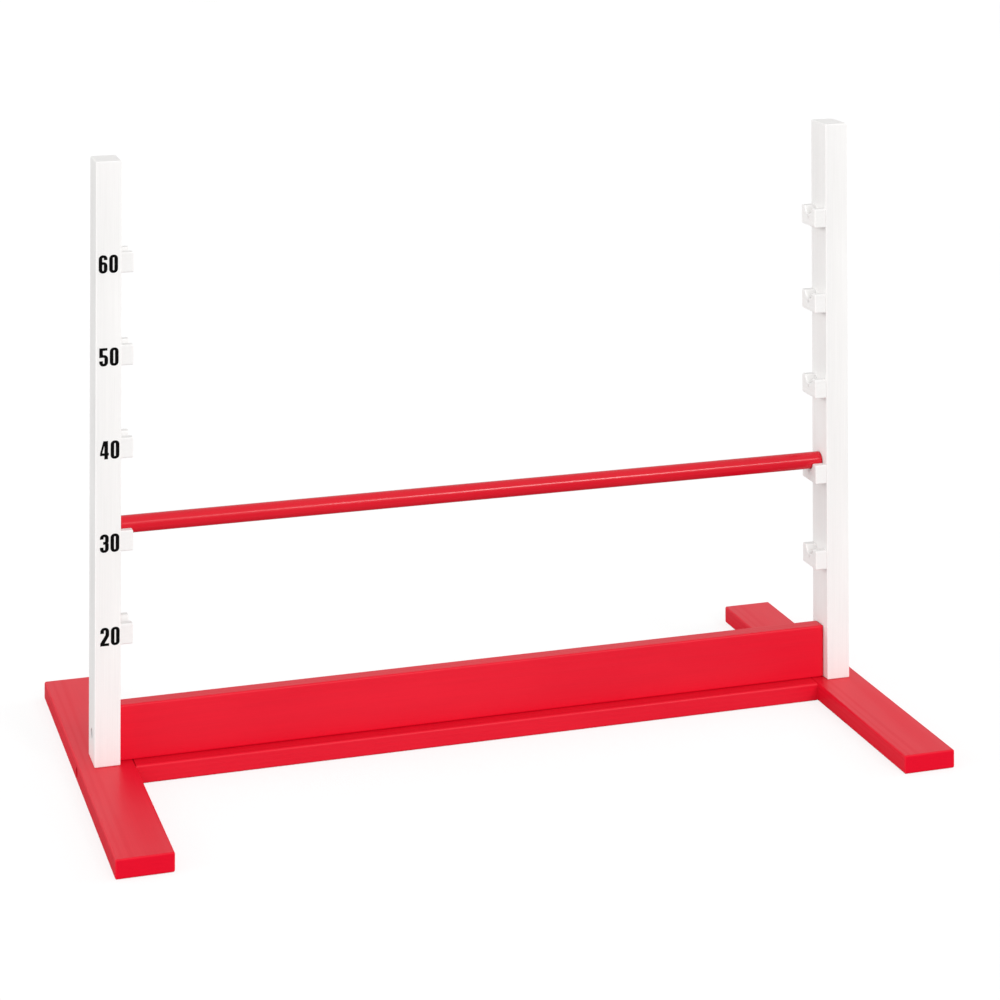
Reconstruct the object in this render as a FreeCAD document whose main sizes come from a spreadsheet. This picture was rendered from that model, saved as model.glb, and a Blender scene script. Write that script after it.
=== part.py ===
import FreeCAD, Part
import os
import Sketcher

# A free-standing wooden jump hurdle: two foot planks joined by a cross plank, an upright board on the
# cross plank, a post on each foot, five notched rests on each post, and a loose round pole.
#
# Frame, in millimetres: the origin is on the floor under the middle of the hurdle. X runs from the
# left post to the right post, Y from the numbered front to the back, and Z up.

# ---------------------------------------------------------------------------------------------------
# Driving dimensions: alias, value, meaning
# ---------------------------------------------------------------------------------------------------

DRIVING_DIMENSIONS = (
    ("overall_width", 920, "outer side of one foot plank to the outer side of the other"),
    ("overall_height", 670, "floor to the top of a post"),
    ("foot_length", 520, "foot plank, front to back"),
    ("plank_width", 60, "foot plank, side to side"),
    ("plank_thickness", 20, "foot planks, cross plank and upright board"),
    ("cross_plank_width", 56, "cross plank, front to back"),
    ("board_height", 60, "upright board above the cross plank"),
    ("post_width", 28, "post, side to side"),
    ("post_depth", 42, "post, front to back"),
    ("arris_radius", 2.2, "rounding along the edges of planks and board"),
    ("post_arris_radius", 1.2, "rounding along the edges of a post"),
    ("pole_diameter", 19, "loose pole"),
    ("pole_length", 830, "loose pole, 2 mm shorter than the space between the posts"),
    ("pole_end_chamfer", 0.8, "chamfer round the pole's ends"),
    ("pole_shift", 0.8, "pole to the right of the middle"),
    ("rest_width", 13.5, "rest, out from the post"),
    ("rest_depth", 39, "rest, front to back"),
    ("rest_height", 22, "rest, bottom to top"),
    ("rest_edge_radius", 1.5, "rounding along the edges of a rest"),
    ("rest_pitch", 100, "one rest to the next, up the post"),
    ("lowest_rest_top", 170.4, "floor to the top of the lowest rest"),
    ("notch_radius", 10, "round notch for the pole"),
    ("notch_rise", 1.8, "axis of the notch above the top of the rest"),
    ("pole_seat_gap", 0.1, "pole above the floor of the notch"),
    ("digit_height", 19.6, "height number"),
    ("digit_width", 9.5, "one digit"),
    ("digit_gap", 1.9, "between the two digits"),
    ("digit_stroke", 3.9, "upright strokes of a digit"),
    ("digit_bar", 2.8, "level strokes of a digit"),
    ("digit_outer_radius", 4.3, "outer corners of a round digit"),
    ("digit_inner_radius", 0.8, "corners of a digit's counter"),
    ("digit_waist", 0.9, "depth of the waist of a 3"),
    ("film_thickness", 0.15, "cut film of the numbers"),
    ("number_centre", 159.2, "floor to the middle of the lowest number"),
    ("number_shift_20", 2.3, "number 20 to the right of the post's centre line"),
    ("number_shift_30", 1.6, "number 30 to the right of the post's centre line"),
    ("number_shift_40", 1.5, "number 40 to the right of the post's centre line"),
    ("number_shift_50", 0.4, "number 50 to the right of the post's centre line"),
    ("number_shift_60", -0.5, "number 60 to the right of the post's centre line, so a little to its left"),
    ("bolt_shank_radius", 3, "M6 bolts"),
    ("bolt_head_radius", 5, "socket head of the bolts"),
    ("bolt_head_height", 6, "socket head of the bolts"),
    ("bolt_socket_radius", 2.9, "corner radius of the hexagon socket"),
    ("bolt_socket_depth", 3, "hexagon socket"),
    ("bolt_tip_chamfer", 0.8, "end of the thread"),
    ("counterbore_radius", 5.5, "for the bolt heads"),
    ("bolt_hole_radius", 3.5, "clearance for the bolts"),
    ("bolt_end_depth", 45, "bolt hole in the end of the cross plank or the board"),
    ("foot_counterbore", 25, "depth of the counterbore in a foot plank"),
    ("foot_bolt_length", 70, "under the head"),
    ("foot_nut_inset", 25, "end of the cross plank to its barrel nut"),
    ("post_counterbore", 7.5, "depth of the counterbore in a post"),
    ("post_bolt_length", 50, "under the head"),
    ("post_nut_inset", 22, "end of the board to its barrel nut"),
    ("nut_radius", 5, "barrel nuts"),
    ("nut_length", 14, "barrel nuts"),
    ("nut_bore_radius", 3.1, "thread through a barrel nut"),
    ("nut_hole_radius", 5.1, "hole for a barrel nut"),
    ("nut_hole_depth", 17, "hole for a barrel nut"),
    ("screw_clearance", 0.1, "pilot holes round the wood screws"),
    ("screw_point", 3, "length of a wood screw's point"),
    ("recess_reach", 0.62, "arm of a screw's cross recess, as a share of the head's radius"),
    ("recess_width", 0.22, "width of its arms, as such a share"),
    ("recess_depth", 0.28, "its depth, as such a share"),
    ("base_screw_radius", 2.5, "screws that enter from below"),
    ("base_screw_head", 5, "head radius of the screws that enter from below"),
    ("base_screw_cone", 2.8, "height of their countersunk heads"),
    ("base_screw_sink", 0.5, "heads below the surface"),
    ("post_screw_length", 70, "foot plank into post"),
    ("post_screw_offset", 11, "to the front and back of the post's middle"),
    ("board_screw_length", 50, "cross plank into board"),
    ("board_screw_pitch", 260, "along the cross plank"),
    ("rest_screw_radius", 1.25, "screws that hold the rests"),
    ("rest_screw_head", 2.5, "their head radius"),
    ("rest_screw_cone", 1.3, "height of their countersunk heads"),
    ("rest_screw_sink", 0.2, "heads below the surface"),
    ("rest_screw_length", 28, "rest into post"),
    ("rest_screw_height", 10.6, "above the bottom of a rest"),
    ("cut_overrun", 2, "tools run past the wood by this much"),
)

# Points closer together than this are the same point.
TOLERANCE = 1e-4

# Heights in centimetres that the numbers show, from the lowest rest up.
LEVELS = (20, 30, 40, 50, 60)
POLE_LEVEL = 30

document = FreeCAD.newDocument("jump_hurdle")
dims = document.addObject("Spreadsheet::Sheet", "dims")
for row, (alias, size, meaning) in enumerate(DRIVING_DIMENSIONS, 1):
    dims.set(f"A{row}", meaning)
    dims.set(f"B{row}", str(size))
    dims.setAlias(f"B{row}", alias)
document.recompute()

# Expressions that several pieces share.
SIDE_CENTRE = "(dims.overall_width - dims.plank_width) / 2"
POST_INNER_FACE = f"({SIDE_CENTRE} - dims.post_width / 2)"
POST_OUTER_FACE = f"({SIDE_CENTRE} + dims.post_width / 2)"
CROSS_PLANK_END = "(dims.overall_width / 2 - dims.plank_width)"
BOARD_BOLT_HEIGHT = "(dims.plank_thickness + dims.board_height / 2)"
REST_TO_REST = f"{len(LEVELS) - 1} * dims.rest_pitch"

parts = []


# ---------------------------------------------------------------------------------------------------
# Sketches
# ---------------------------------------------------------------------------------------------------

ORIGIN, ORIGIN_POINT = -1, 1
HORIZONTAL_AXIS, VERTICAL_AXIS = -1, -2
START, END = 1, 2


def value(expression):
    """The present value of an expression in the sheet's cells."""
    return float(dims.evalExpression(expression))


def negative(expression):
    return f"-({expression})"


def origin_feature(body, role):
    """One of the body's own origin planes or axes."""
    return next(feature for feature in body.Origin.OriginFeatures if feature.Role == role)


def new_sketch(body, name, plane, x="0", y="0", z="0"):
    """A sketch parallel to an origin plane of the body, with its origin at (x, y, z) of the body."""
    sketch = body.newObject("Sketcher::SketchObject", name)
    sketch.AttachmentSupport = [(origin_feature(body, plane), "")]
    sketch.MapMode = "FlatFace"
    in_plane_axes = {"XY_Plane": (x, y, z), "XZ_Plane": (x, z, negative(y)), "YZ_Plane": (y, z, x)}
    for axis, expression in zip("xyz", in_plane_axes[plane]):
        sketch.setExpression(f"AttachmentOffset.Base.{axis}", expression)
    return sketch


def hold_point(sketch, geometry, vertex, x, y):
    """Dimensions a point of the sketch from the sketch's origin, along both axes."""
    for kind, axis, expression in (("DistanceX", VERTICAL_AXIS, x), ("DistanceY", HORIZONTAL_AXIS, y)):
        distance = value(expression)
        if distance == 0:
            sketch.addConstraint(Sketcher.Constraint("PointOnObject", geometry, vertex, axis))
            continue
        ends = (ORIGIN, ORIGIN_POINT, geometry, vertex)
        if distance < 0:
            ends = (geometry, vertex, ORIGIN, ORIGIN_POINT)
            expression = negative(expression)
        constraint = sketch.addConstraint(Sketcher.Constraint(kind, *ends, abs(distance)))
        sketch.setExpression(f"Constraints[{constraint}]", expression)


def draw_outline(sketch, corners):
    """Closes a polygon through corners, each a pair of expressions measured from the sketch's origin."""
    points = [FreeCAD.Vector(value(x), value(y), 0) for x, y in corners]
    first = sketch.GeometryCount
    for start, end in zip(points, points[1:] + points[:1]):
        sketch.addGeometry(Part.LineSegment(start, end))
    for index, (x, y) in enumerate(corners):
        following = first + (index + 1) % len(corners)
        sketch.addConstraint(Sketcher.Constraint("Coincident", first + index, END, following, START))
        hold_point(sketch, first + index, START, x, y)


def rectangle(width, height):
    """Corners of a rectangle about the sketch's origin."""
    right, top = f"{width} / 2", f"{height} / 2"
    left, bottom = negative(right), negative(top)
    return [(left, bottom), (right, bottom), (right, top), (left, top)]


# ---------------------------------------------------------------------------------------------------
# Features
# ---------------------------------------------------------------------------------------------------


def new_body(label, x="0", z="0", turned=False):
    """A sub-part. A turned one faces the other way, by half a turn about the vertical."""
    body = document.addObject("PartDesign::Body", label)
    body.Label = label
    body.AllowCompound = True
    if turned:
        body.Placement.Rotation = FreeCAD.Rotation(FreeCAD.Vector(0, 0, 1), 180)
    body.setExpression("Placement.Base.x", negative(x) if turned else x)
    body.setExpression("Placement.Base.z", z)
    parts.append(body)
    return body


def pad(body, sketch, name, length):
    feature = body.newObject("PartDesign::Pad", name)
    feature.Profile = sketch
    feature.setExpression("Length", length)
    return feature


def pocket(body, sketch, name, depth, along_normal=False):
    feature = body.newObject("PartDesign::Pocket", name)
    feature.Profile = sketch
    feature.setExpression("Length", depth)
    feature.Reversed = along_normal
    return feature


def turn(body, kind, name, axis, at, section):
    """Turns a half-section a full circle about a line through the point at, along x, y or z.

    kind is Revolution, which adds, or Groove, which cuts. section holds pairs (along, radius), with
    along measured from the point in the direction of the axis.
    """
    sketch = new_sketch(body, f"{name}_section", "YZ_Plane" if axis == "y" else "XZ_Plane", *at)
    draw_outline(sketch, [(radius, along) if axis == "z" else (along, radius) for along, radius in section])
    feature = body.newObject(f"PartDesign::{kind}", name)
    feature.Profile = sketch
    feature.ReferenceAxis = (sketch, ["V_Axis" if axis == "z" else "H_Axis"])
    feature.Angle = 360
    return feature


def mirrored(body, plane):
    """For repeat: a copy on the other side of an origin plane."""
    step = document.addObject("PartDesign::Mirrored", "mirrored")
    step.MirrorPlane = (origin_feature(body, plane), [""])
    return step


def spaced(body, axis, length, occurrences):
    """For repeat: copies spaced evenly over a length along an origin axis."""
    step = document.addObject("PartDesign::LinearPattern", "spaced")
    step.Direction = (origin_feature(body, axis), [""])
    step.setExpression("Length", length)
    step.Occurrences = occurrences
    return step


def repeat(body, name, originals, *steps):
    """Repeats features of the body by each step in turn."""
    feature = document.addObject("PartDesign::MultiTransform", name)
    feature.Originals = originals
    feature.Transformations = list(steps)
    body.addObject(feature)
    body.Tip = feature


def round_edges(body, name, radius, choose=lambda edge: True):
    """Fillets the chosen edges of the body's last solid."""
    document.recompute()
    base = body.Tip
    edges = [f"Edge{index}" for index, edge in enumerate(base.Shape.Edges, 1) if choose(edge)]
    feature = body.newObject("PartDesign::Fillet", name)
    feature.Base = (base, edges)
    feature.setExpression("Radius", radius)
    return feature


def new_timber(label, length, width, height, arris="dims.arris_radius", **placement):
    """A planed piece, its edges eased, standing on its own origin plane with its middle on the axis."""
    body = new_body(label, **placement)
    sketch = new_sketch(body, "outline", "XY_Plane")
    draw_outline(sketch, rectangle(length, width))
    pad(body, sketch, "timber", height)
    round_edges(body, "eased_edges", arris)
    return body


# ---------------------------------------------------------------------------------------------------
# Sections of fasteners and of the holes they sit in
# ---------------------------------------------------------------------------------------------------


def bolt_hole_section(counterbore, depth):
    """A hole that enters towards negative, with a counterbore for the bolt's head."""
    mouth, seat, end = "dims.cut_overrun", negative(counterbore), negative(depth)
    return [
        (mouth, "0"),
        (mouth, "dims.counterbore_radius"),
        (seat, "dims.counterbore_radius"),
        (seat, "dims.bolt_hole_radius"),
        (end, "dims.bolt_hole_radius"),
        (end, "0"),
    ]


def bolt_section(counterbore, length):
    """A socket head bolt that points towards negative and seats at the foot of its counterbore."""
    top = f"dims.bolt_head_height - {counterbore}"
    seat = negative(counterbore)
    end = f"-{counterbore} - {length}"
    return [
        (top, "0"),
        (top, "dims.bolt_head_radius"),
        (seat, "dims.bolt_head_radius"),
        (seat, "dims.bolt_shank_radius"),
        (f"{end} + dims.bolt_tip_chamfer", "dims.bolt_shank_radius"),
        (end, "dims.bolt_shank_radius - dims.bolt_tip_chamfer"),
        (end, "0"),
    ]


def plain_section(start, end, radius):
    return [(start, "0"), (start, radius), (end, radius), (end, "0")]


def screw_section(kind, length):
    """A countersunk wood screw that points towards positive, its head just below the surface."""
    sink, head, shank = f"dims.{kind}_screw_sink", f"dims.{kind}_screw_head", f"dims.{kind}_screw_radius"
    return [
        (sink, "0"),
        (sink, head),
        (f"{sink} + dims.{kind}_screw_cone", shank),
        (f"{length} - dims.screw_point", shank),
        (length, "0"),
    ]


def screw_hole_section(kind, length):
    """The countersink and pilot hole for such a screw."""
    gap, mouth = "dims.screw_clearance", "-dims.cut_overrun"
    sink = f"dims.{kind}_screw_sink"
    head, shank = f"dims.{kind}_screw_head + {gap}", f"dims.{kind}_screw_radius + {gap}"
    end = f"{length} + dims.screw_point"
    return [
        (mouth, "0"),
        (mouth, head),
        (f"{sink}", head),
        (f"{sink} + dims.{kind}_screw_cone", shank),
        (end, shank),
        (end, "0"),
    ]


# ---------------------------------------------------------------------------------------------------
# Base
# ---------------------------------------------------------------------------------------------------


def make_foot_plank(side):
    body = new_timber(
        f"{side}_foot_plank",
        "dims.plank_width",
        "dims.foot_length",
        "dims.plank_thickness",
        x=SIDE_CENTRE,
        turned=(side == "left"),
    )
    bolt_hole = bolt_hole_section("dims.foot_counterbore", "dims.plank_width + dims.cut_overrun")
    outer_side = ("dims.plank_width / 2", "0", "dims.plank_thickness / 2")
    turn(body, "Groove", "bolt_hole", "x", outer_side, bolt_hole)
    screw_hole = screw_hole_section("base", "dims.post_screw_length")
    hole = turn(body, "Groove", "post_screw_hole", "z", ("0", "dims.post_screw_offset", "0"), screw_hole)
    repeat(body, "post_screw_holes", [hole], mirrored(body, "XZ_Plane"))


def make_cross_plank():
    body = new_body("cross_plank")
    sketch = new_sketch(body, "outline", "XY_Plane")
    draw_outline(sketch, rectangle(f"(2 * {CROSS_PLANK_END})", "dims.cross_plank_width"))
    pad(body, sketch, "timber", "dims.plank_thickness")
    round_edges(body, "eased_edges", "dims.arris_radius", is_along_x)
    end_hole = plain_section("dims.cut_overrun", "-dims.bolt_end_depth", "dims.bolt_hole_radius")
    nut_hole = plain_section("-dims.cut_overrun", "dims.nut_hole_depth", "dims.nut_hole_radius")
    middle_of_end = (CROSS_PLANK_END, "0", "dims.plank_thickness / 2")
    nut_hole_mouth = (f"{CROSS_PLANK_END} - dims.foot_nut_inset", "0", "0")
    holes = [
        turn(body, "Groove", "bolt_hole", "x", middle_of_end, end_hole),
        turn(body, "Groove", "nut_hole", "z", nut_hole_mouth, nut_hole),
    ]
    repeat(body, "holes_at_both_ends", holes, mirrored(body, "YZ_Plane"))
    screw_hole = screw_hole_section("base", "dims.board_screw_length")
    hole = turn(body, "Groove", "board_screw_hole", "z", ("-dims.board_screw_pitch", "0", "0"), screw_hole)
    repeat(body, "board_screw_holes", [hole], spaced(body, "X_Axis", "2 * dims.board_screw_pitch", 3))


def make_upright_board():
    length, thickness = f"(2 * {POST_INNER_FACE})", "dims.plank_thickness"
    body = new_timber("upright_board", length, thickness, "dims.board_height", z=thickness)
    middle = "dims.board_height / 2"
    end_hole = plain_section("dims.cut_overrun", "-dims.bolt_end_depth", "dims.bolt_hole_radius")
    nut_hole = plain_section("dims.cut_overrun", "-dims.nut_hole_depth", "dims.nut_hole_radius")
    nut_hole_mouth = (f"{POST_INNER_FACE} - dims.post_nut_inset", "dims.plank_thickness / 2", middle)
    holes = [
        turn(body, "Groove", "bolt_hole", "x", (POST_INNER_FACE, "0", middle), end_hole),
        turn(body, "Groove", "nut_hole", "y", nut_hole_mouth, nut_hole),
    ]
    repeat(body, "holes_at_both_ends", holes, mirrored(body, "YZ_Plane"))
    screw_hole = screw_hole_section("base", "dims.board_screw_length")
    below = ("-dims.board_screw_pitch", "0", "-dims.plank_thickness")
    hole = turn(body, "Groove", "board_screw_hole", "z", below, screw_hole)
    repeat(body, "board_screw_holes", [hole], spaced(body, "X_Axis", "2 * dims.board_screw_pitch", 3))


def is_along_x(edge):
    start, end = edge.Vertexes[0].Point, edge.Vertexes[-1].Point
    return abs(end.y - start.y) < TOLERANCE and abs(end.z - start.z) < TOLERANCE


# ---------------------------------------------------------------------------------------------------
# Posts, rests and pole
# ---------------------------------------------------------------------------------------------------


def make_post(side):
    body = new_timber(
        f"{side}_post",
        "dims.post_width",
        "dims.post_depth",
        "(dims.overall_height - dims.plank_thickness)",
        arris="dims.post_arris_radius",
        x=SIDE_CENTRE,
        z="dims.plank_thickness",
        turned=(side == "left"),
    )
    bolt_hole = bolt_hole_section("dims.post_counterbore", "dims.post_width + dims.cut_overrun")
    outer_side = ("dims.post_width / 2", "0", "dims.board_height / 2")
    turn(body, "Groove", "bolt_hole", "x", outer_side, bolt_hole)
    screw_hole = screw_hole_section("base", "dims.post_screw_length")
    below = ("0", "dims.post_screw_offset", "-dims.plank_thickness")
    hole = turn(body, "Groove", "post_screw_hole", "z", below, screw_hole)
    repeat(body, "post_screw_holes", [hole], mirrored(body, "XZ_Plane"))
    rest_screw_hole = screw_hole_section("rest", "dims.rest_screw_length")
    lowest = (
        "-dims.post_width / 2 - dims.rest_width",
        "0",
        "dims.lowest_rest_top - dims.rest_height + dims.rest_screw_height - dims.plank_thickness",
    )
    hole = turn(body, "Groove", "rest_screw_hole", "x", lowest, rest_screw_hole)
    repeat(body, "rest_screw_holes", [hole], spaced(body, "Z_Axis", REST_TO_REST, len(LEVELS)))


def make_rest(side, level):
    """A block whose outer face, at its own x = 0, lies on the post, with a round notch in its top."""
    bottom = f"dims.lowest_rest_top - dims.rest_height + {LEVELS.index(level)} * dims.rest_pitch"
    body = new_body(f"{side}_rest_{level}", x=POST_INNER_FACE, z=bottom, turned=(side == "left"))
    sketch = new_sketch(body, "outline", "YZ_Plane", x="-dims.rest_width", z="dims.rest_height / 2")
    draw_outline(sketch, rectangle("dims.rest_depth", "dims.rest_height"))
    pad(body, sketch, "block", "dims.rest_width")
    notch_axis = ("0", "0", "dims.rest_height + dims.notch_rise")
    notch = plain_section("dims.cut_overrun", "-dims.rest_width - dims.cut_overrun", "dims.notch_radius")
    turn(body, "Groove", "notch", "x", notch_axis, notch)
    round_edges(body, "eased_edges", "dims.rest_edge_radius", is_off_the_post)
    screw_hole = screw_hole_section("rest", "dims.rest_screw_length")
    turn(body, "Groove", "screw_hole", "x", ("-dims.rest_width", "0", "dims.rest_screw_height"), screw_hole)


def is_off_the_post(edge):
    """True of an edge of a rest unless it lies in the outer face, which is glued to the post."""
    return edge.BoundBox.XMin < -TOLERANCE


def make_pole():
    """The pole lies on the floor of the notches of one pair of rests."""
    rest_top = f"dims.lowest_rest_top + {LEVELS.index(POLE_LEVEL)} * dims.rest_pitch"
    notch_floor = f"{rest_top} + dims.notch_rise - dims.notch_radius"
    axis_height = f"{notch_floor} + dims.pole_seat_gap + dims.pole_diameter / 2"
    body = new_body("pole", x="dims.pole_shift", z=axis_height)
    end, radius, chamfer = "dims.pole_length / 2", "dims.pole_diameter / 2", "dims.pole_end_chamfer"
    section = [
        (negative(end), "0"),
        (negative(end), f"{radius} - {chamfer}"),
        (f"{chamfer} - {end}", radius),
        (f"{end} - {chamfer}", radius),
        (end, f"{radius} - {chamfer}"),
        (end, "0"),
    ]
    turn(body, "Revolution", "dowel", "x", ("0", "0", "0"), section)


# ---------------------------------------------------------------------------------------------------
# Height numbers: cut film on the front of the left post
# ---------------------------------------------------------------------------------------------------

# Each digit is one or two closed outlines in a cell whose lower left corner is (0, 0). A corner is
# (across, up, radius), and a radius of None leaves it sharp.

WIDE, HIGH = "dims.digit_width", "dims.digit_height"
STROKE, BAR = "dims.digit_stroke", "dims.digit_bar"
OUTER, INNER = "dims.digit_outer_radius", "dims.digit_inner_radius"
RIGHT_STROKE = f"({WIDE} - {STROKE})"
TOP_BAR = f"({HIGH} - {BAR})"
BOWL_TOP = f"(0.62 * {HIGH})"
UPPER_TERMINAL = f"(0.73 * {HIGH})"
LOWER_TERMINAL = f"(0.29 * {HIGH})"


def counter(bottom, top):
    """The closed white space inside a round digit."""
    return [
        (STROKE, bottom, INNER),
        (RIGHT_STROKE, bottom, INNER),
        (RIGHT_STROKE, top, INNER),
        (STROKE, top, INNER),
    ]


def digit_0():
    outside = [("0", "0", OUTER), (WIDE, "0", OUTER), (WIDE, HIGH, OUTER), ("0", HIGH, OUTER)]
    return [outside, counter(BAR, TOP_BAR)]


def digit_2():
    slope_start = f"(1.2 * {STROKE})"
    return [
        [
            ("0", "0", None),
            (WIDE, "0", None),
            (WIDE, BAR, None),
            (slope_start, BAR, None),
            (WIDE, f"0.54 * {HIGH}", OUTER),
            (WIDE, HIGH, OUTER),
            ("0", HIGH, OUTER),
            ("0", f"0.68 * {HIGH}", None),
            (STROKE, f"0.68 * {HIGH}", None),
            (STROKE, TOP_BAR, INNER),
            (RIGHT_STROKE, TOP_BAR, INNER),
            (RIGHT_STROKE, f"0.6 * {HIGH}", INNER),
            ("0", f"1.1 * {BAR}", None),
        ]
    ]


def digit_3():
    waist, notch = f"(0.52 * {HIGH})", "dims.digit_waist"
    arm = f"(0.36 * {WIDE})"
    return [
        [
            ("0", "0", OUTER),
            (WIDE, "0", OUTER),
            (WIDE, f"{waist} - {notch}", None),
            (f"{WIDE} - {notch}", waist, None),
            (WIDE, f"{waist} + {notch}", None),
            (WIDE, HIGH, OUTER),
            ("0", HIGH, OUTER),
            ("0", UPPER_TERMINAL, None),
            (STROKE, UPPER_TERMINAL, None),
            (STROKE, TOP_BAR, INNER),
            (RIGHT_STROKE, TOP_BAR, INNER),
            (RIGHT_STROKE, f"{waist} + {BAR} / 2", INNER),
            (arm, f"{waist} + {BAR} / 2", None),
            (arm, f"{waist} - {BAR} / 2", None),
            (RIGHT_STROKE, f"{waist} - {BAR} / 2", INNER),
            (RIGHT_STROKE, BAR, INNER),
            (STROKE, BAR, INNER),
            (STROKE, LOWER_TERMINAL, None),
            ("0", LOWER_TERMINAL, None),
        ]
    ]


def digit_4():
    stem_right = f"(0.9 * {WIDE})"
    stem_left = f"({stem_right} - {STROKE})"
    bar_bottom = f"(0.2 * {HIGH})"
    bar_top = f"({bar_bottom} + {BAR})"
    outside = [
        (stem_left, "0", None),
        (stem_right, "0", None),
        (stem_right, bar_bottom, None),
        (WIDE, bar_bottom, None),
        (WIDE, bar_top, None),
        (stem_right, bar_top, None),
        (stem_right, HIGH, None),
        (f"0.37 * {WIDE}", HIGH, None),
        ("0", bar_top, None),
        ("0", bar_bottom, None),
        (stem_left, bar_bottom, None),
    ]
    space = [
        (f"0.6 * {STROKE}", bar_top, None),
        (stem_left, bar_top, None),
        (stem_left, f"0.76 * {HIGH}", None),
    ]
    return [outside, space]


def digit_5():
    return [
        [
            ("0", "0", OUTER),
            (WIDE, "0", OUTER),
            (WIDE, BOWL_TOP, OUTER),
            (STROKE, BOWL_TOP, None),
            (STROKE, TOP_BAR, None),
            (f"0.92 * {WIDE}", TOP_BAR, None),
            (f"0.92 * {WIDE}", HIGH, None),
            ("0", HIGH, None),
            ("0", f"{BOWL_TOP} - {BAR}", None),
            (RIGHT_STROKE, f"{BOWL_TOP} - {BAR}", INNER),
            (RIGHT_STROKE, BAR, INNER),
            (STROKE, BAR, INNER),
            (STROKE, LOWER_TERMINAL, None),
            ("0", LOWER_TERMINAL, None),
        ]
    ]


def digit_6():
    outside = [
        ("0", "0", OUTER),
        (WIDE, "0", OUTER),
        (WIDE, BOWL_TOP, OUTER),
        (STROKE, BOWL_TOP, None),
        (STROKE, TOP_BAR, INNER),
        (RIGHT_STROKE, TOP_BAR, INNER),
        (RIGHT_STROKE, UPPER_TERMINAL, None),
        (WIDE, UPPER_TERMINAL, None),
        (WIDE, HIGH, OUTER),
        ("0", HIGH, OUTER),
    ]
    return [outside, counter(BAR, f"{BOWL_TOP} - {BAR}")]


DIGITS = {"0": digit_0, "2": digit_2, "3": digit_3, "4": digit_4, "5": digit_5, "6": digit_6}


def edge_is_at(edge, across, up):
    """True of an edge that runs straight through the film at this place."""
    ends = (edge.Vertexes[0].Point, edge.Vertexes[-1].Point)
    return all(max(abs(point.x - across), abs(point.z - up)) < TOLERANCE for point in ends)


def make_number(level):
    number_width = f"(2 * {WIDE} + dims.digit_gap)"
    body = new_body(
        f"number_{level}",
        x=f"dims.number_shift_{level} - {SIDE_CENTRE} - {number_width} / 2",
        z=f"dims.number_centre - {HIGH} / 2 + {LEVELS.index(level)} * dims.rest_pitch",
    )
    body.setExpression("Placement.Base.y", "-dims.post_depth / 2")
    sketch = new_sketch(body, "outline", "XZ_Plane")
    rounded = {OUTER: [], INNER: []}
    for place, digit in enumerate(str(level)):
        left = f"{place} * ({WIDE} + dims.digit_gap)"
        for corners in DIGITS[digit]():
            draw_outline(sketch, [(f"{left} + {across}", up) for across, up, radius in corners])
            for across, up, radius in corners:
                if radius:
                    rounded[radius].append((value(f"{left} + {across}"), value(up)))
    pad(body, sketch, "film", "dims.film_thickness")
    for radius, places in rounded.items():
        name = radius.split(".")[-1]
        round_edges(body, name, radius, lambda edge: any(edge_is_at(edge, *place) for place in places))


# ---------------------------------------------------------------------------------------------------
# Fasteners: each node is one group of identical pieces, in the frame of the whole hurdle
# ---------------------------------------------------------------------------------------------------


def make_bolts(label, mouth, counterbore, length):
    """One bolt in the right-hand side and its mirror image in the left, heads outwards."""
    body = new_body(label)
    bolt = turn(body, "Revolution", "bolt", "x", mouth, bolt_section(counterbore, length))
    across, along, height = mouth
    top_of_head = f"{across} - {counterbore} + dims.bolt_head_height"
    sketch = new_sketch(body, "socket_outline", "YZ_Plane", top_of_head, along, height)
    corner, half = "dims.bolt_socket_radius", "dims.bolt_socket_radius / 2"
    flat = "dims.bolt_socket_radius * sqrt(3) / 2"
    hexagon = [
        (corner, "0"),
        (half, flat),
        (negative(half), flat),
        (negative(corner), "0"),
        (negative(half), negative(flat)),
        (half, negative(flat)),
    ]
    draw_outline(sketch, hexagon)
    socket = pocket(body, sketch, "socket", "dims.bolt_socket_depth")
    repeat(body, "both_sides", [bolt, socket], mirrored(body, "YZ_Plane"))


def make_barrel_nuts(label, axis, centre):
    """One barrel nut at the right-hand end and its mirror image at the left, threaded along x."""
    body = new_body(label)
    half = "dims.nut_length / 2"
    outside = plain_section(negative(half), half, "dims.nut_radius")
    barrel = turn(body, "Revolution", "barrel", axis, centre, outside)
    past_the_barrel = "dims.nut_radius + dims.cut_overrun"
    bore = plain_section(negative(past_the_barrel), past_the_barrel, "dims.nut_bore_radius")
    thread = turn(body, "Groove", "thread", "x", centre, bore)
    repeat(body, "both_ends", [barrel, thread], mirrored(body, "YZ_Plane"))


def cut_cross_recess(body, kind, plane, at):
    """A cross recess in the head of a screw that points along the plane's normal."""
    sketch = new_sketch(body, "recess_outline", plane, *at)
    head = f"dims.{kind}_screw_head"
    arm, side = f"dims.recess_reach * {head}", f"dims.recess_width * {head} / 2"
    quarter = [(arm, negative(side)), (arm, side), (side, side), (side, arm)]
    quarter += [(negative(side), arm), (negative(side), side)]
    corners = quarter + [(negative(x), negative(y)) for x, y in quarter]
    draw_outline(sketch, corners)
    return pocket(body, sketch, "recess", f"dims.recess_depth * {head}", along_normal=True)


def make_screw(body, kind, axis, mouth, length):
    """One screw whose mouth, the surface it sinks into, is at a point. Returns its features."""
    screw = turn(body, "Revolution", "screw", axis, mouth, screw_section(kind, length))
    head = list(mouth)
    along = "xyz".index(axis)
    head[along] = f"{mouth[along]} + dims.{kind}_screw_sink"
    recess = cut_cross_recess(body, kind, "YZ_Plane" if axis == "x" else "XY_Plane", head)
    return [screw, recess]


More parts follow.
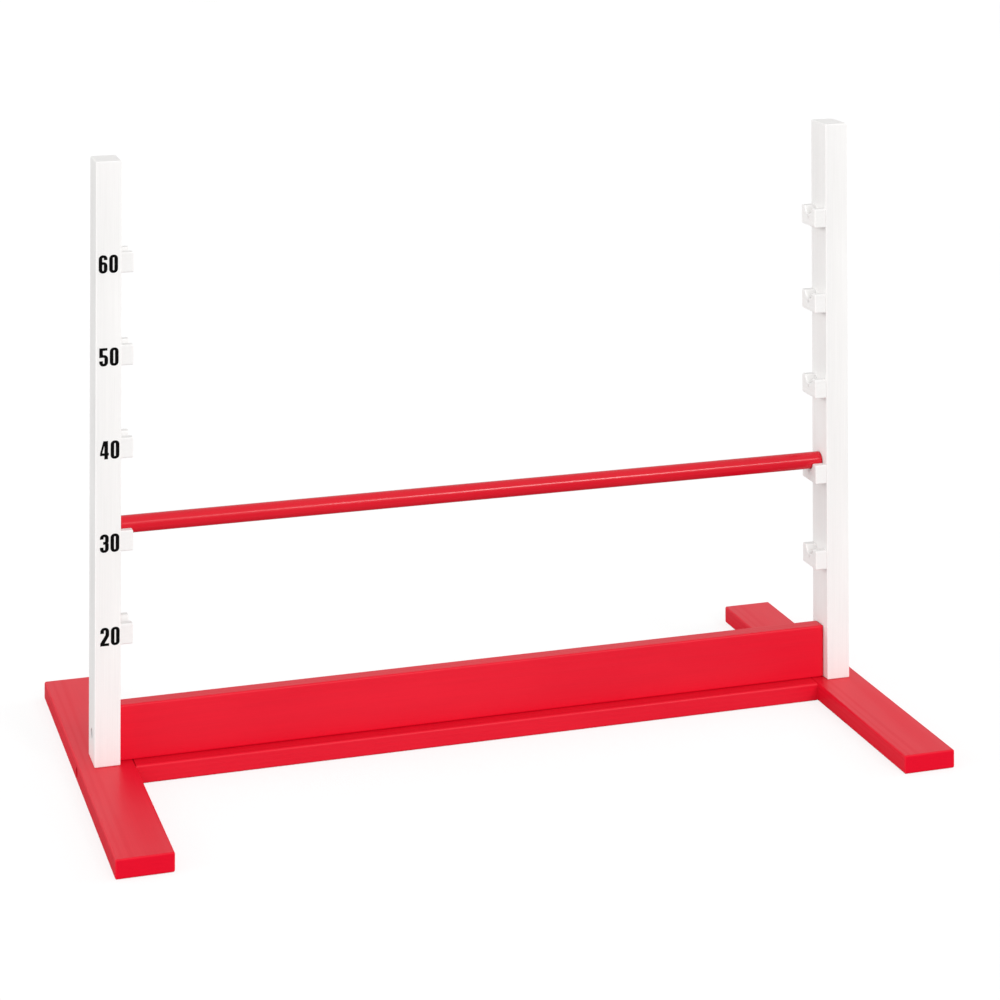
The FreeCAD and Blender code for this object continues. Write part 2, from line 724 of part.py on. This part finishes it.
def make_post_screws():
    body = new_body("post_screws")
    mouth = (SIDE_CENTRE, "dims.post_screw_offset", "0")
    screw = make_screw(body, "base", "z", mouth, "dims.post_screw_length")
    repeat(body, "four_screws", screw, mirrored(body, "XZ_Plane"), mirrored(body, "YZ_Plane"))


def make_board_screws():
    body = new_body("board_screws")
    mouth = ("-dims.board_screw_pitch", "0", "0")
    screw = make_screw(body, "base", "z", mouth, "dims.board_screw_length")
    repeat(body, "row_of_screws", screw, spaced(body, "X_Axis", "2 * dims.board_screw_pitch", 3))


def make_rest_screws():
    body = new_body("rest_screws")
    height = "dims.lowest_rest_top - dims.rest_height + dims.rest_screw_height"
    mouth = (f"{POST_INNER_FACE} - dims.rest_width", "0", height)
    screw = make_screw(body, "rest", "x", mouth, "dims.rest_screw_length")
    one_per_rest = spaced(body, "Z_Axis", REST_TO_REST, len(LEVELS))
    repeat(body, "ten_screws", screw, one_per_rest, mirrored(body, "YZ_Plane"))


# ---------------------------------------------------------------------------------------------------
# The hurdle
# ---------------------------------------------------------------------------------------------------

for side in ("left", "right"):
    make_foot_plank(side)
    make_post(side)
    for level in LEVELS:
        make_rest(side, level)
make_cross_plank()
make_upright_board()
make_pole()
for level in LEVELS:
    make_number(level)

foot_mouth = ("dims.overall_width / 2", "0", "dims.plank_thickness / 2")
foot_nut = (f"{CROSS_PLANK_END} - dims.foot_nut_inset", "0", "dims.plank_thickness / 2")
make_bolts("foot_bolts", foot_mouth, "dims.foot_counterbore", "dims.foot_bolt_length")
make_barrel_nuts("foot_barrel_nuts", "z", foot_nut)

post_mouth = (POST_OUTER_FACE, "0", BOARD_BOLT_HEIGHT)
post_nut = (f"{POST_INNER_FACE} - dims.post_nut_inset", "0", BOARD_BOLT_HEIGHT)
make_bolts("post_bolts", post_mouth, "dims.post_counterbore", "dims.post_bolt_length")
make_barrel_nuts("post_barrel_nuts", "y", post_nut)

make_post_screws()
make_board_screws()
make_rest_screws()
document.recompute()

# ---------------------------------------------------------------------------------------------------
# Checks and export
# ---------------------------------------------------------------------------------------------------

for item in document.Objects:
    if {"Invalid", "Error"} & set(item.State):
        raise RuntimeError(f"{item.Label} is {item.State}")
    if item.TypeId in ("PartDesign::Groove", "PartDesign::Pocket"):
        if item.Shape.Volume >= item.BaseFeature.Shape.Volume:
            raise RuntimeError(f"{item.Label} cuts nothing")
for part in parts:
    if part.Shape.isNull() or not part.Shape.isValid():
        raise RuntimeError(f"{part.Label} has no valid shape")

os.makedirs("parts", exist_ok=True)
for part in parts:
    part.Shape.exportStep(f"parts/{part.Label}.step")
    print(f"{part.Label}: {len(part.Shape.Solids)} solid(s), {part.Shape.Volume / 1000:.2f} cm3")
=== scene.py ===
import math

import bpy
from mathutils import Matrix, Vector


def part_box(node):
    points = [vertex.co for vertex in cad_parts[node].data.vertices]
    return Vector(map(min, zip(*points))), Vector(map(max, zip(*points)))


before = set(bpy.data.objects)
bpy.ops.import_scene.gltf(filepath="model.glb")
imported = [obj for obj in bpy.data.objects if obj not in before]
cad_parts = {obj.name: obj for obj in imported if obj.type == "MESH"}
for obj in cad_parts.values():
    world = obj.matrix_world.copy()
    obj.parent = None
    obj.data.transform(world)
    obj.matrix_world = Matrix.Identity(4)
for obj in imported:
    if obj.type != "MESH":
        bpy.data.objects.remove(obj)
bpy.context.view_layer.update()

# A free-standing wooden jump hurdle: red and white lacquered timber, numbers of black film and
# zinc-plated fasteners. Lengths are in metres. X runs along the pole, Y from front to back, Z up.

SIDES = ("left", "right")
LEVELS = (20, 30, 40, 50, 60)

# Colours are linear red, green and blue.
RED_LACQUER = (0.73, 0.004, 0.022)
RED_POLE_LACQUER = (0.63, 0.003, 0.016)
WHITE_LACQUER = (0.835, 0.825, 0.815)
BLACK_FILM = (0.0015, 0.0015, 0.0016)
ZINC = (0.62, 0.63, 0.66)


# ---------------------------------------------------------------------------------------------------
# Materials
# ---------------------------------------------------------------------------------------------------


class Recipe:
    """The nodes of one material or world, with short calls for the kinds it is made of."""

    def __init__(self, owner):
        self.owner = owner
        owner.use_nodes = True
        self.tree = owner.node_tree
        self.tree.nodes.clear()
        self.place = self.add("ShaderNodeTexCoord").outputs["Object"]

    def add(self, kind, inputs=(), **settings):
        """A node with its settings, and its inputs set to a value or joined to another node's output."""
        node = self.tree.nodes.new(kind)
        for name, setting in settings.items():
            setattr(node, name, setting)
        for key, source in dict(inputs).items():
            if isinstance(source, bpy.types.NodeSocket):
                self.tree.links.new(source, node.inputs[key])
            else:
                node.inputs[key].default_value = source
        return node

    def maths(self, operation, *values):
        return self.add("ShaderNodeMath", enumerate(values), operation=operation).outputs[0]

    def vectors(self, operation, *values, output="Vector"):
        return self.add("ShaderNodeVectorMath", enumerate(values), operation=operation).outputs[output]

    def split(self, vector):
        return self.add("ShaderNodeSeparateXYZ", {0: vector}).outputs

    def joined(self, *values):
        return self.add("ShaderNodeCombineXYZ", enumerate(values)).outputs[0]

    def spread(self, value, low, high, to_low=0.0, to_high=1.0):
        """A value's stretch from low to high laid over another stretch, and held at its ends."""
        stretch = {"Value": value, "From Min": low, "From Max": high, "To Min": to_low, "To Max": to_high}
        return self.add("ShaderNodeMapRange", stretch, clamp=True).outputs["Result"]

    def noise(self, place, detail=2.0, roughness=0.5, scale=1.0):
        inputs = {"Vector": place, "Scale": scale, "Detail": detail, "Roughness": roughness}
        return self.add("ShaderNodeTexNoise", inputs).outputs["Fac"]

    def mixed(self, share, first, second):
        node = self.add("ShaderNodeMix", {0: share}, data_type="RGBA")
        for socket, colour in ((node.inputs[6], first), (node.inputs[7], second)):
            if isinstance(colour, bpy.types.NodeSocket):
                self.tree.links.new(colour, socket)
            else:
                socket.default_value = (*colour, 1.0)
        return node.outputs[2]

    def bump(self, height, distance, strength, under=None):
        inputs = {"Height": height, "Distance": distance, "Strength": strength}
        if under is not None:
            inputs["Normal"] = under
        return self.add("ShaderNodeBump", inputs).outputs["Normal"]

    def edges(self, radius):
        """From 0 on a flat face to 1 on an edge, over about the radius."""
        rounded = self.add("ShaderNodeBevel", {"Radius": radius}, samples=8).outputs["Normal"]
        facing = self.add("ShaderNodeNewGeometry").outputs["Normal"]
        return self.maths("SUBTRACT", 1.0, self.vectors("DOT_PRODUCT", rounded, facing, output="Value"))

    def facing(self, axis):
        """1 where the surface faces either way along X, Y or Z, and 0 where it faces across."""
        normal = self.add("ShaderNodeTexCoord").outputs["Normal"]
        return self.spread(self.maths("ABSOLUTE", self.split(normal)["XYZ".index(axis)]), 0.75, 0.95)

    def by_ray(self, light, mirrored, seen):
        """One value for the light thrown on things, one for their reflections, one for the camera."""
        rays = self.add("ShaderNodeLightPath").outputs
        chosen = self.add("ShaderNodeMix", {0: rays["Is Glossy Ray"], 2: light, 3: mirrored}).outputs[0]
        return self.add("ShaderNodeMix", {0: rays["Is Camera Ray"], 2: chosen, 3: seen}).outputs[0]

    def finish(self, **inputs):
        shader = self.add("ShaderNodeBsdfPrincipled", inputs_named(inputs))
        self.add("ShaderNodeOutputMaterial", {"Surface": shader.outputs["BSDF"]})
        return self.owner


def inputs_named(inputs):
    """base_color=... as the shader spells it: Base Color. IOR stays as it is."""
    return {name.replace("_", " ").title().replace("Ior", "IOR"): source for name, source in inputs.items()}


def new_finish(name):
    return Recipe(bpy.data.materials.new(name))


def shade(colour, factor, lift=0.0):
    """A darker or paler colour."""
    return tuple(min(1.0, channel * factor + lift) for channel in colour)


def grain_place(recipe, along, heart):
    """Where a point lies in the tree: third along the grain, the others from the heart of the trunk."""
    x, y, z = recipe.split(recipe.vectors("SUBTRACT", recipe.place, heart))
    return recipe.joined(*{"X": (y, z, x), "Y": (z, x, y), "Z": (x, y, z)}[along])


def wood_relief(recipe, grain):
    """Growth rings and fibres, as heights from 0 to 1."""
    ring_spacing, spacing_at_scale_one = 0.0042, math.pi / 10
    rings = recipe.add(
        "ShaderNodeTexWave",
        {
            "Vector": recipe.vectors("MULTIPLY", grain, (1.0, 1.0, 0.05)),
            "Scale": spacing_at_scale_one / ring_spacing,
            "Distortion": 5.0,
            "Detail": 2.0,
            "Detail Scale": 0.35,
        },
        wave_type="RINGS",
        rings_direction="Z",
    ).outputs["Fac"]
    stretched = recipe.vectors("MULTIPLY", grain, (900.0, 900.0, 14.0))
    fibres = recipe.noise(stretched, detail=3.0, roughness=0.6)
    return recipe.spread(rings, 0.35, 1.0), fibres


def lacquered_timber(node, paint, along, heart=(0.012, 0.055), sheen=0.28, roughness=(0.34, 0.48)):
    """Planed softwood under an opaque satin lacquer that lets the grain show as faint relief.

    along is the axis that the grain follows. heart is how far the middle of the trunk lies from the
    middle of the piece: aside and below.
    """
    low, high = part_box(node)
    aside, below = heart
    to_heart = {"X": (0, aside, -below), "Y": (aside, 0, -below), "Z": (aside, below, 0)}[along]
    recipe = new_finish(f"{node}_finish")
    grain = grain_place(recipe, along, (low + high) / 2 + Vector(to_heart))
    rings, fibres = wood_relief(recipe, grain)
    clouds = recipe.noise(recipe.vectors("MULTIPLY", grain, (14.0, 14.0, 5.0)), detail=2.0)
    orange_peel = recipe.noise(recipe.place, detail=1.0, scale=520.0)
    end_grain = recipe.facing(along)
    # Share of paler colour along the arrises: partly lacquer worn thin there, partly a painted highlight on
    # each arris.
    edge_share = recipe.maths("MULTIPLY", recipe.spread(recipe.edges(radius=0.0012), 0.02, 0.30), clouds)

    tone = recipe.maths("ADD", recipe.maths("MULTIPLY", clouds, 0.6), recipe.maths("MULTIPLY", fibres, 0.4))
    colour = recipe.mixed(recipe.spread(tone, 0.3, 0.7), shade(paint, 0.93), shade(paint, 1.03, 0.003))
    colour = recipe.mixed(recipe.maths("MULTIPLY", rings, 0.05), colour, shade(paint, 0.7))
    colour = recipe.mixed(recipe.maths("MULTIPLY", end_grain, 0.5), colour, shade(paint, 0.93))
    # Painted highlight along the arrises, partly also thin lacquer: the edges turn paler pink on the red
    # and greyer on the white.
    colour = recipe.mixed(recipe.maths("MULTIPLY", edge_share, 0.12), colour, shade(paint, 0.8, 0.1))

    glossiness = recipe.maths("ADD", clouds, recipe.maths("MULTIPLY", rings, 0.25))
    dullness = recipe.spread(glossiness, 0.3, 1.0, *roughness)
    dullness = recipe.maths("ADD", dullness, recipe.maths("MULTIPLY", end_grain, 0.2))
    specular = recipe.spread(end_grain, 0.0, 1.0, sheen, 0.15 * sheen)
    normal = recipe.bump(rings, distance=0.00010, strength=0.5)
    normal = recipe.bump(fibres, distance=0.00006, strength=0.5, under=normal)
    normal = recipe.bump(orange_peel, distance=0.00004, strength=0.4, under=normal)
    return recipe.finish(base_color=colour, roughness=dullness, specular_ior_level=specular, normal=normal)


def cut_film(name):
    """Matt self-adhesive film: a fine leathery texture, greyer along its cut edge."""
    recipe = new_finish(name)
    clouds = recipe.noise(recipe.place, detail=2.0, scale=90.0)
    skin = recipe.noise(recipe.place, detail=2.0, scale=2500.0)
    cut = recipe.spread(recipe.edges(radius=0.0002), 0.05, 0.4)
    colour = recipe.mixed(clouds, BLACK_FILM, shade(BLACK_FILM, 1.7))
    colour = recipe.mixed(recipe.maths("MULTIPLY", cut, 0.2), colour, (0.03, 0.03, 0.03))
    roughness = recipe.spread(clouds, 0.3, 0.7, 0.42, 0.55)
    normal = recipe.bump(skin, distance=0.00002, strength=0.4)
    return recipe.finish(base_color=colour, roughness=roughness, specular_ior_level=0.06, normal=normal)


def painted_screw(name, paint):
    """Screw heads under the same lacquer as the rests, a little thinner round the rim."""
    recipe = new_finish(name)
    clouds = recipe.noise(recipe.place, detail=2.0, scale=300.0)
    drips = recipe.noise(recipe.place, detail=1.0, scale=900.0)
    rim = recipe.spread(recipe.edges(radius=0.0003), 0.05, 0.4)
    colour = recipe.mixed(clouds, shade(paint, 0.97), shade(paint, 1.02))
    colour = recipe.mixed(recipe.maths("MULTIPLY", rim, 0.15), colour, shade(paint, 0.7))
    roughness = recipe.spread(clouds, 0.3, 0.7, 0.25, 0.35)
    normal = recipe.bump(drips, distance=0.00005, strength=0.4)
    return recipe.finish(base_color=colour, roughness=roughness, normal=normal)


def zinc_plate(name):
    """Bright zinc on steel: mottled, a little brushed, and duller where it has been handled."""
    recipe = new_finish(name)
    mottle = recipe.noise(recipe.place, detail=3.0, roughness=0.6, scale=420.0)
    brush = recipe.noise(recipe.vectors("MULTIPLY", recipe.place, (300.0, 4000.0, 4000.0)), detail=1.0)
    cool = recipe.mixed(mottle, shade(ZINC, 0.82), shade(ZINC, 1.12))
    edge_share = recipe.spread(recipe.edges(radius=0.0003), 0.05, 0.4)
    colour = recipe.mixed(recipe.maths("MULTIPLY", edge_share, 0.4), cool, (0.80, 0.79, 0.76))
    roughness = recipe.spread(mottle, 0.3, 0.7, 0.24, 0.42)
    normal = recipe.bump(brush, distance=0.00002, strength=0.3)
    return recipe.finish(base_color=colour, metallic=1.0, roughness=roughness, normal=normal)


def dress(node, material):
    """Gives a piece its material."""
    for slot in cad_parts[node].material_slots:
        slot.link = "OBJECT"
        slot.material = material


for side in SIDES:
    dress(f"{side}_foot_plank", lacquered_timber(f"{side}_foot_plank", RED_LACQUER, "Y"))
    dress(f"{side}_post", lacquered_timber(f"{side}_post", WHITE_LACQUER, "Z"))
    for level in LEVELS:
        rest = f"{side}_rest_{level}"
        dress(rest, lacquered_timber(rest, WHITE_LACQUER, "Y"))
dress("cross_plank", lacquered_timber("cross_plank", RED_LACQUER, "X"))
dress("upright_board", lacquered_timber("upright_board", RED_LACQUER, "X", heart=(0.07, 0.02)))
pole_finish = lacquered_timber(
    "pole", RED_POLE_LACQUER, "X", heart=(0.012, 0.02), sheen=0.35, roughness=(0.16, 0.22)
)
dress("pole", pole_finish)

film = cut_film("black_film_finish")
for level in LEVELS:
    dress(f"number_{level}", film)

dress("rest_screws", painted_screw("painted_screw_finish", WHITE_LACQUER))
zinc = zinc_plate("zinc_plate_finish")
bolts_and_nuts = ("foot_bolts", "post_bolts", "foot_barrel_nuts", "post_barrel_nuts")
for node in (*bolts_and_nuts, "post_screws", "board_screws"):
    dress(node, zinc)


# ---------------------------------------------------------------------------------------------------
# Floor and light
# ---------------------------------------------------------------------------------------------------


def make_floor(bounce, mirrored, seen, share_seen):
    """A floor that melts into the white behind it and takes only a breath of the hurdle's shadow.

    bounce, mirrored and seen are how much of the light that falls on the floor it sends on to the
    hurdle, to the reflections in the hurdle and to the camera. The camera sees a share of that
    shading over plain white.
    """
    half = 8.0
    gap_under_hurdle = 0.0002
    outline = [(-half, -half, 0), (half, -half, 0), (half, half, 0), (-half, half, 0)]
    mesh = bpy.data.meshes.new("floor")
    mesh.from_pydata(outline, [], [(0, 1, 2, 3)])
    floor = bpy.data.objects.new("floor", mesh)
    bpy.context.scene.collection.objects.link(floor)
    floor.location.z = -gap_under_hurdle

    recipe = new_finish("floor_finish")
    brightness = recipe.by_ray(bounce, mirrored, seen)
    shading = recipe.add("ShaderNodeBsdfDiffuse", {"Color": brightness})
    see_through = recipe.add("ShaderNodeBsdfTransparent")
    share = recipe.by_ray(light=1.0, mirrored=1.0, seen=share_seen)
    blend = {0: share, 1: see_through.outputs["BSDF"], 2: shading.outputs["BSDF"]}
    surface = recipe.add("ShaderNodeMixShader", blend).outputs["Shader"]
    recipe.add("ShaderNodeOutputMaterial", {"Surface": surface})
    floor.data.materials.append(recipe.owner)


def white_surroundings(light, mirrored, seen):
    """A white room that lights the hurdle from all round and shows as plain white behind it."""
    world = bpy.data.worlds.new("white_room")
    bpy.context.scene.world = world
    recipe = Recipe(world)
    strength = recipe.by_ray(light, mirrored, seen)
    background = recipe.add("ShaderNodeBackground", {"Color": (1.0, 1.0, 1.0, 1.0), "Strength": strength})
    recipe.add("ShaderNodeOutputWorld", {"Surface": background.outputs["Background"]})


def soft_sun(name, bearing, elevation, strength, spread, mirrored=False):
    """Even light from a bearing, clockwise from the front of the hurdle as seen from above."""
    light = bpy.data.lights.new(name, "SUN")
    light.energy = strength
    light.angle = math.radians(spread)
    lamp = bpy.data.objects.new(name, light)
    lamp.visible_glossy = mirrored
    turn, climb = math.radians(bearing), math.radians(elevation)
    level = Vector((-math.sin(turn), -math.cos(turn), 0))
    towards_light = level * math.cos(climb) + Vector((0, 0, math.sin(climb)))
    lamp.rotation_mode = "QUATERNION"
    lamp.rotation_quaternion = towards_light.to_track_quat("Z", "Y")
    bpy.context.scene.collection.objects.link(lamp)


make_floor(bounce=0.6, mirrored=0.24, seen=0.9, share_seen=0.25)
white_surroundings(light=0.67, mirrored=0.75, seen=1.05)
soft_sun("key", bearing=-20, elevation=27, strength=0.5, spread=9, mirrored=True)
soft_sun("front_fill", bearing=0, elevation=16, strength=1.1, spread=30)
soft_sun("left_fill", bearing=90, elevation=12, strength=1.55, spread=40)
soft_sun("right_fill", bearing=-90, elevation=16, strength=1.15, spread=30)
bpy.context.scene.view_settings.view_transform = "Standard"


# ---------------------------------------------------------------------------------------------------
# Camera
# ---------------------------------------------------------------------------------------------------

# Angles are in radians, and the lens and its sensor's width in millimetres.
CAMERA_PLACE = Vector((-0.8914, -2.9334, 1.1449))
CAMERA_TURN = 0.31185
CAMERA_TILT = 0.02433
CAMERA_ROLL = 0.00129
CAMERA_LENS = 96.368
CAMERA_SENSOR = 36
CAMERA_SHIFT = {"shift_x": -0.02774, "shift_y": -0.84273}


def camera_axes():
    """The camera's right, up and backward directions, as the columns of a matrix."""
    ahead = Vector((math.sin(CAMERA_TURN), math.cos(CAMERA_TURN), 0))
    right = Vector((math.cos(CAMERA_TURN), -math.sin(CAMERA_TURN), 0))
    up = Vector((0, 0, 1))
    forward = ahead * math.cos(CAMERA_TILT) + up * math.sin(CAMERA_TILT)
    upright = up * math.cos(CAMERA_TILT) - ahead * math.sin(CAMERA_TILT)
    rolled_right = right * math.cos(CAMERA_ROLL) - upright * math.sin(CAMERA_ROLL)
    rolled_up = upright * math.cos(CAMERA_ROLL) + right * math.sin(CAMERA_ROLL)
    return Matrix((rolled_right, rolled_up, -forward)).transposed()


def shift_at_home_only(camera, home):
    """The lens is shifted while the camera stands at home, and centred once it is moved elsewhere."""
    still_at_home = 0.001
    for channel, shift in CAMERA_SHIFT.items():
        driver = camera.data.driver_add(channel).driver
        driver.type = "SCRIPTED"
        distance = driver.variables.new()
        distance.name = "distance"
        distance.type = "LOC_DIFF"
        distance.targets[0].id = camera
        distance.targets[1].id = home
        driver.expression = f"{shift} if distance < {still_at_home} else 0"


def make_camera():
    scene = bpy.context.scene
    camera = bpy.data.objects.new("camera", bpy.data.cameras.new("camera"))
    home = bpy.data.objects.new("camera_home", None)
    for thing in (camera, home):
        thing.location = CAMERA_PLACE
        scene.collection.objects.link(thing)
    camera.rotation_mode = "QUATERNION"
    camera.rotation_quaternion = camera_axes().to_quaternion()
    camera.data.sensor_width = CAMERA_SENSOR
    camera.data.lens = CAMERA_LENS
    scene.camera = camera
    shift_at_home_only(camera, home)


make_camera()
